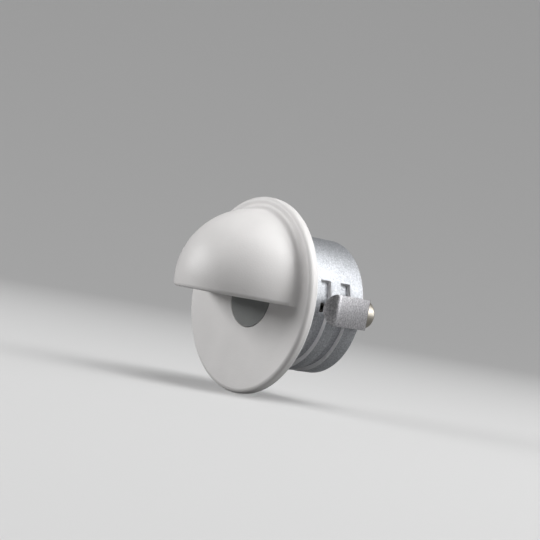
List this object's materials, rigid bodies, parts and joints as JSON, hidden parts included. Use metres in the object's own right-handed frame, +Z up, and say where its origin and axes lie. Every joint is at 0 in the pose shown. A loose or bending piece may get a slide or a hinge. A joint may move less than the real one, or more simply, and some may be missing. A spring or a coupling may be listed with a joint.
{
  "type": "recessed wall light",
  "caption": "Small round recessed wall or step light: pale bezel with a half-dome eyelid over a frosted lens, grooved aluminium housing, and leaf-spring clips that hold it in a wall cut-out.",
  "frame": {"origin": "on the light's axis in the wall plane, where the flange's back face rests", "axes": "-Y is the front, out of the wall; +Y runs into the wall; +X is right seen from the front; +Z is up"},
  "size_m": [0.0426, 0.0404, 0.042],
  "materials": {
    "bezel_coat": "satin pearl powder coat",
    "frosted_lens": "frosted",
    "housing_metal": "bead blasted, clear anodised",
    "spring_steel": "matte rolled strip",
    "plated_steel": "bright plated",
    "black_rubber": "matte",
    "black_plastic": "fine grain",
    "reflector_plastic": "polished white",
    "white_board": "white solder mask",
    "green_board": "green solder mask",
    "led_ceramic": "phosphor coated",
    "clear_silicone": "clear",
    "thermal_silicone": "soft pad",
    "red_insulation": "smooth",
    "black_insulation": "smooth",
    "component_black": "moulded epoxy",
    "ferrite": "sintered",
    "capacitor_ceramic": "fired ceramic",
    "terminal_plastic": "moulded"
  },
  "bodies": {
    "light": {"bezel": "bezel_coat", "lens": "frosted_lens", "lens_gasket": "black_rubber", "reflector": "reflector_plastic", "led_board": "white_board", "led_package": "led_ceramic", "led_dome": "clear_silicone", "led_screws": "plated_steel", "thermal_pad": "thermal_silicone", "lead_negative": "black_insulation", "lead_positive": "red_insulation", "housing": "housing_metal", "bezel_set_screw": "plated_steel", "driver_pad": "thermal_silicone", "driver_board": "green_board", "inductor": "ferrite", "capacitors": "capacitor_ceramic", "rectifier": "component_black", "driver_chip": "component_black", "resistors": "component_black", "supply_terminal": "terminal_plastic", "rear_gasket": "black_rubber", "rear_cover": "black_plastic", "cable_grommet": "black_rubber", "clip_foot_right": "spring_steel", "clip_foot_left": "spring_steel", "clip_washers": "plated_steel", "lock_washers": "plated_steel", "clip_screws": "plated_steel"},
    "right_clip": {"clip_arm_right": "spring_steel"},
    "left_clip": {"clip_arm_left": "spring_steel"}
  },
  "joints": [
    {"name": "right_clip_flex", "type": "hinge", "parent": "light", "child": "right_clip", "pos_m": [0.01515, 0.0174, 0], "axis": [0, 0, -1], "range_deg": [0, 16], "stiffness_Nm_per_rad": 0.3},
    {"name": "left_clip_flex", "type": "hinge", "parent": "light", "child": "left_clip", "pos_m": [-0.01515, 0.0174, 0], "axis": [0, 0, 1], "range_deg": [0, 16], "stiffness_Nm_per_rad": 0.3}
  ]
}
